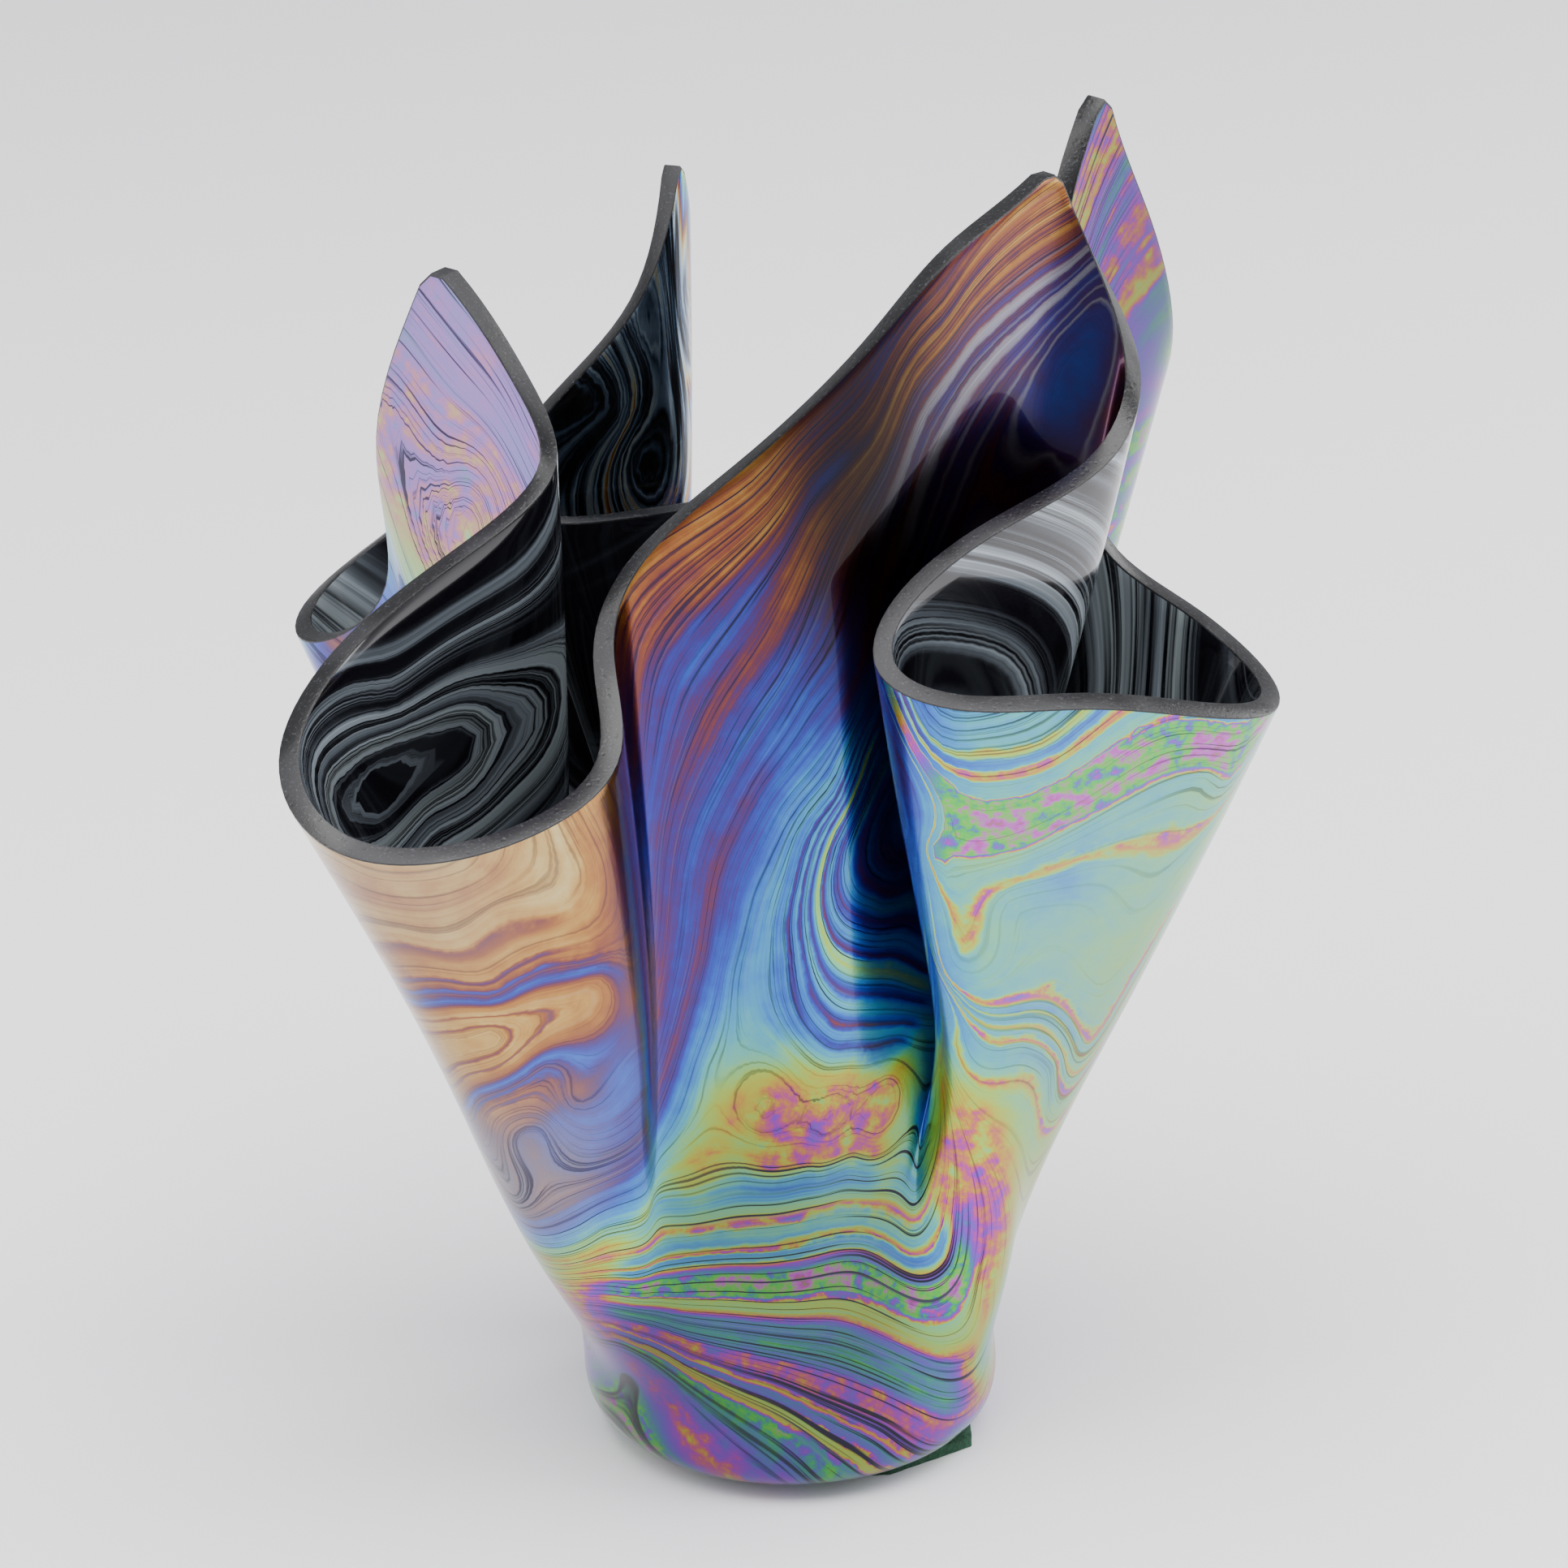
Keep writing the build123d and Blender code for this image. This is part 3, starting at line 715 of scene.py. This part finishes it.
def lustreGlass(mapOfSheet):
    bench = Bench("lustre_glass")
    line = flowPart(bench, "X")
    strength = flowPart(bench, "Y")
    # the fourth number: a pale veil above zero, painted shade below zero
    veilAndPaintedShade = bench.carried("flow", out="Alpha")
    place = bench.place()
    zones = bench.carried("zones")
    zoneShare = [bench.add("ShaderNodeSeparateColor", {}, {0: zones}, out=channel)
                 for channel in ("Red", "Green", "Blue")]
    zoneShare.append(bench.carried("zones", out="Alpha"))
    middle = streaks(bench, line, place, lustre["middle"])
    fine = streaks(bench, line, place, lustre["fine"])
    pale = streaks(bench, line + lustre["paleShift"], place, lustre["pale"])
    mottle = bench.noise(place, *lustre["mottle"])
    cloud = bench.noise(place, *lustre["cloud"])
    wavy = line + mottle.centred() * lustre["mottleWander"] + middle.centred() * lustre["middleWander"]
    shared = {"middle": middle, "fine": fine, "mottle": mottle, "cloud": cloud, "wavy": wavy,
              "zoneShare": zoneShare}
    film = lustreFilm(bench, line, strength, place, mapOfSheet, shared)
    colour = bench.add("ShaderNodeGamma", {}, {0: interference(bench, film), 1: lustre["contrast"]})
    milky = lustre["veilLeast"] + veilAndPaintedShade.clipped(*lustre["veilAndPaintedShadeRange"]) * lustre["veilShare"]
    veiled = bench.mix(milky, colour, lustre["veilTone"])
    darkLine = fine.clipped(*lustre["darkEdge"]) * strength * lustre["darkShare"]
    paleLine = pale.clipped(*lustre["paleEdge"]) * strength * lustre["paleShare"]
    lined = bench.mix(paleLine, bench.mix(darkLine, veiled, lustre["darkTone"]), lustre["paleTone"])
    # pale veins on the front corner, which is the last of the zones
    frayed = lustre["veinShare"] + fine.centred() * lustre["veinFraying"]
    vein = filmSteps(bench, wavy, marbling["veins"]) * zoneShare[-1] * frayed
    shown = bench.mix(vein, lined, lustre["veinTone"])
    # painted shade: where the veils are below zero the metal's colour is darkened further, on top of its
    # even share of black
    shade = lustre["shade"] + (0 - veilAndPaintedShade).clipped(*lustre["veilAndPaintedShadeRange"]) * lustre["paintedShadeShare"]
    rippled = middle + mottle * lustre["rippleMottle"]
    ripple = bench.bumps(lustre["rippleStrength"], lustre["rippleDepth"], rippled)
    bench.set(Base_Color=bench.mix(shade, shown, tone(0, 0, 0)), Metallic=lustre["metal"],
              Roughness=lustre["roughness"] + cloud * lustre["cloudRoughness"],
              Coat_Weight=lustre["coat"], Coat_Roughness=lustre["coatRoughness"], Normal=ripple)
    return bench.material


rimFinish = {
    "grain": (1600.0, 3.0, 0.7),
    "patches": (30.0, 2.0, 0.5),
    "chips": 420.0,
    "chipEdge": (0.12, 0.3),
    "chipDepth": 0.8,
    "wornEdge": (0.45, 0.62),
    "glassTone": tone(8, 8, 10),
    "wornTone": tone(28, 28, 31),
    "speckTone": tone(84, 84, 92),
    "speckEdge": (0.56, 0.7),
    "speckShare": 0.5,
    "bumpStrength": 0.35,
    "bumpDepth": 0.0002,
    "roughness": 0.3,
    "wornRoughness": 0.22,
    "grainRoughness": 0.1,
}


def groundRim():
    bench = Bench("ground_rim")
    place = bench.place()
    grain = bench.noise(place, *rimFinish["grain"])
    worn = bench.noise(place, *rimFinish["patches"]).clipped(*rimFinish["wornEdge"])
    spots = {"Vector": place, "Scale": rimFinish["chips"]}
    chip = 1 - bench.add("ShaderNodeTexVoronoi", {"feature": "F1"}, spots).clipped(*rimFinish["chipEdge"])
    body = bench.mix(worn, rimFinish["glassTone"], rimFinish["wornTone"])
    speck = grain.clipped(*rimFinish["speckEdge"]) * rimFinish["speckShare"]
    pitted = grain - chip * rimFinish["chipDepth"]
    frosted = bench.bumps(rimFinish["bumpStrength"], rimFinish["bumpDepth"], pitted)
    rough = rimFinish["roughness"] + worn * rimFinish["wornRoughness"] + grain * rimFinish["grainRoughness"]
    bench.set(Base_Color=bench.mix(speck, body, rimFinish["speckTone"]), Roughness=rough, Normal=frosted)
    return bench.material


# The smoky glass inside, with streaks given as for the lustre
smoky = {
    "broad": (0.07, 3.0, 1.0),
    "middle": (0.3, 5.0, 2.0),
    "fine": (1.1, 7.0, 3.0),
    "broadEdge": (0.42, 0.62),
    "middleEdge": (0.44, 0.6),
    "fineEdge": (0.46, 0.62),
    "middleShare": 0.42,
    "fineShare": 0.34,
    "glassTone": tone(9, 8, 13),
    "blueSmoke": tone(120, 130, 172),
    "paleSmoke": tone(206, 220, 216),
    "roughness": 0.1,
    "smokeRoughness": 0.2,
    "smokeMetal": 0.4,
    "coat": 0.6,
    "coatRoughness": 0.03,
}


def darkGlass():
    bench = Bench("dark_glass")
    line = flowPart(bench, "X")
    place = bench.place()
    broad = streaks(bench, line, place, smoky["broad"])
    middle = streaks(bench, line, place, smoky["middle"]).clipped(*smoky["middleEdge"])
    fine = streaks(bench, line, place, smoky["fine"]).clipped(*smoky["fineEdge"])
    wisps = middle * smoky["middleShare"] + fine * smoky["fineShare"]
    smoke = broad.clipped(*smoky["broadEdge"]) * wisps
    smokeTone = bench.mix(broad, smoky["blueSmoke"], smoky["paleSmoke"])
    bench.set(Base_Color=bench.mix(smoke, smoky["glassTone"], smokeTone),
              Roughness=smoky["roughness"] + smoke * smoky["smokeRoughness"],
              Metallic=smoke * smoky["smokeMetal"], Coat_Weight=smoky["coat"],
              Coat_Roughness=smoky["coatRoughness"])
    return bench.material


# The felt pad: a round hand cut through these points (mm), then a straight snip to the front corner
felt = {
    "cut": [(44, -21), (43, -4), (37, 15), (22, 31), (0, 38), (-22, 33), (-35, 18), (-38, -3), (-30, -22),
            (-13, -32), (7, -35), (24, -34)],
    "thick": 3.2,
    "layers": 4,
    "stepsPerPoint": 14,
    "wobble": 0.22,
    "arris": 0.35,
    "arrisSteps": 2,
    "edgeAngle": 50,
    "seed": 7,
    "fibres": (1500.0, 4.0, 0.75),
    "clumps": (240.0, 2.0, 0.5),
    "fibreEdge": (0.35, 0.65),
    "dustEdge": (0.5, 0.7),
    "dustShare": 0.35,
    "deepTone": tone(4, 26, 17),
    "fibreTone": tone(22, 68, 45),
    "dustTone": tone(70, 104, 84),
    "bumpStrength": 0.8,
    "bumpDepth": 0.0004,
    "clumpDepth": 0.6,
    "roughness": 0.95,
    "sheen": 0.5,
    "sheenRoughness": 0.6,
    "sheenTone": tone(90, 140, 110),
}


def feltGreen():
    bench = Bench("green_felt")
    place = bench.place()
    fibres = bench.noise(place, *felt["fibres"])
    clumps = bench.noise(place, *felt["clumps"])
    dusty = clumps.clipped(*felt["dustEdge"]) * felt["dustShare"]
    colour = bench.mix(fibres.clipped(*felt["fibreEdge"]), felt["deepTone"], felt["fibreTone"])
    matted = bench.bumps(felt["bumpStrength"], felt["bumpDepth"], fibres + clumps * felt["clumpDepth"])
    bench.set(Base_Color=bench.mix(dusty, colour, felt["dustTone"]), Roughness=felt["roughness"],
              Sheen_Weight=felt["sheen"], Sheen_Roughness=felt["sheenRoughness"],
              Sheen_Tint=felt["sheenTone"], Normal=matted)
    return bench.material


def feltOutline():
    # smooth between the points of the cut, then straight back to the first
    cut = np.array(felt["cut"], float)
    shares = np.arange(felt["stepsPerPoint"]) / felt["stepsPerPoint"]
    outline = []
    for i in range(len(cut) - 1):
        start, end = cut[i], cut[i + 1]
        bendIn = (end - cut[max(i - 1, 0)]) / 2
        bendOut = (cut[min(i + 2, len(cut) - 1)] - start) / 2
        for t in shares:
            outline.append((2 * t ** 3 - 3 * t * t + 1) * start + (t ** 3 - 2 * t * t + t) * bendIn
                           + (3 * t * t - 2 * t ** 3) * end + (t ** 3 - t * t) * bendOut)
    for t in shares:
        outline.append(cut[-1] * (1 - t) + cut[0] * t)
    return outline


def cutFelt():
    outline = feltOutline()
    bpy.ops.mesh.primitive_circle_add(vertices=len(outline), radius=1, fill_type="NGON")
    pad = bpy.context.object
    pad.name = "felt_cut"
    # the circle's points have to run the way the cut does
    turn = [math.atan2(v.co.y, v.co.x) for v in pad.data.vertices]
    if (turn[1] - turn[0]) % (2 * math.pi) > math.pi:
        outline = outline[::-1]
    for vertex, (x, y) in zip(pad.data.vertices, outline):
        vertex.co = (x * mm, y * mm, 0)
    bpy.ops.object.mode_set(mode="EDIT")
    bpy.ops.mesh.select_all(action="SELECT")
    rise = (0, 0, felt["thick"] * mm / felt["layers"])
    for _ in range(felt["layers"]):
        bpy.ops.mesh.extrude_region_move(TRANSFORM_OT_translate={"value": rise})
    bpy.ops.mesh.select_all(action="SELECT")
    bpy.ops.mesh.normals_make_consistent(inside=False)
    bpy.ops.object.mode_set(mode="OBJECT")
    soften = pad.modifiers.new("soften", "BEVEL")
    soften.width = felt["arris"] * mm
    soften.segments = felt["arrisSteps"]
    soften.angle_limit = math.radians(felt["edgeAngle"])
    bpy.ops.object.modifier_apply(modifier="soften")
    # a ragged edge from the scissors
    random = np.random.default_rng(felt["seed"])
    for vertex in pad.data.vertices:
        out = Vector((vertex.co.x, vertex.co.y, 0)).normalized()
        vertex.co += out * float(random.uniform(-1, 0)) * felt["wobble"] * mm
    pad.data.materials.append(feltGreen())
    bpy.ops.object.shade_smooth_by_angle(angle=math.radians(felt["edgeAngle"]))
    return pad


glue = {
    "smears": (130.0, 3.0, 0.5),
    "smearEdge": (0.4, 0.6),
    "thinTone": tone(168, 156, 124),
    "thickTone": tone(206, 196, 168),
    "roughness": 0.35,
    "smearRoughness": 0.3,
}


def driedGlue():
    bench = Bench("dried_glue")
    smear = bench.noise(bench.place(), *glue["smears"])
    colour = bench.mix(smear.clipped(*glue["smearEdge"]), glue["thinTone"], glue["thickTone"])
    bench.set(Base_Color=colour, Roughness=glue["roughness"] + smear * glue["smearRoughness"])
    return bench.material


bpy.ops.object.select_all(action="DESELECT")
glass = blowGlass()
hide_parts("glass_body")
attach(glass, "root")
print("glass sheet:", len(glass.data.polygons), "faces")

pad = cutFelt()
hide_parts("felt_pad")
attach(pad, "root")
print("felt pad:", len(pad.data.polygons), "faces")

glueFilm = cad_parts["pad_adhesive"]
glueFilm.data.materials.clear()
glueFilm.data.materials.append(driedGlue())
print("glue film given its material")

# Softboxes: place, the point they face, width and height, power
studio = {
    "floorSize": 8.0,
    "floorTone": tone(243, 242, 246),
    "floorRoughness": 0.6,
    "airTone": tone(232, 233, 237),
    "airStrength": 0.62,
    "softboxes": {
        "left_box": ((-1.5, -0.5, 0.9), (0, 0, 0.15), (1.0, 1.4), 20),
        "right_box": ((1.5, -0.1, 0.8), (0, 0, 0.15), (0.9, 1.4), 20),
        "edge_box": ((1.3, 1.1, 0.5), (0, 0, 0.15), (0.5, 1.6), 16),
        "top_box": ((0, -0.4, 2.2), (0, -0.3, 0.0), (2.4, 2.0), 100),
    },
    "cameraTarget": (-0.0017, 0.0, 0.168),
    "cameraDistance": 1.4,
    "cameraElevation": 25.0,
    "cameraAngle": 14.95,
}


def aimed(name, data, place, direction):
    # a light or camera at its place, facing a direction
    placed = bpy.data.objects.new(name, data)
    bpy.context.scene.collection.objects.link(placed)
    placed.location = place
    placed.rotation_euler = direction.to_track_quat("-Z", "Y").to_euler()
    return placed


bpy.ops.mesh.primitive_plane_add(size=studio["floorSize"], location=(0, 0, 0))
floor = bpy.context.object
floor.name = "floor"
floorBench = Bench("pale_floor")
floorBench.set(Base_Color=studio["floorTone"], Roughness=studio["floorRoughness"])
floor.data.materials.append(floorBench.material)

world = bpy.data.worlds.new("studio")
bpy.context.scene.world = world
world.use_nodes = True
air = world.node_tree.nodes["Background"]
air.inputs["Color"].default_value = studio["airTone"]
air.inputs["Strength"].default_value = studio["airStrength"]

for name, (place, aim, size, power) in studio["softboxes"].items():
    light = bpy.data.lights.new(name, "AREA")
    light.shape = "RECTANGLE"
    light.size, light.size_y = size
    light.energy = power
    aimed(name, light, place, Vector(aim) - Vector(place))

elevation = math.radians(studio["cameraElevation"])
back = Vector((0, -math.cos(elevation), math.sin(elevation)))
camera = bpy.data.cameras.new("camera")
camera.angle = math.radians(studio["cameraAngle"])
cameraPlace = Vector(studio["cameraTarget"]) + back * studio["cameraDistance"]
bpy.context.scene.camera = aimed("camera", camera, cameraPlace, -back)
print("floor, lights and camera placed")
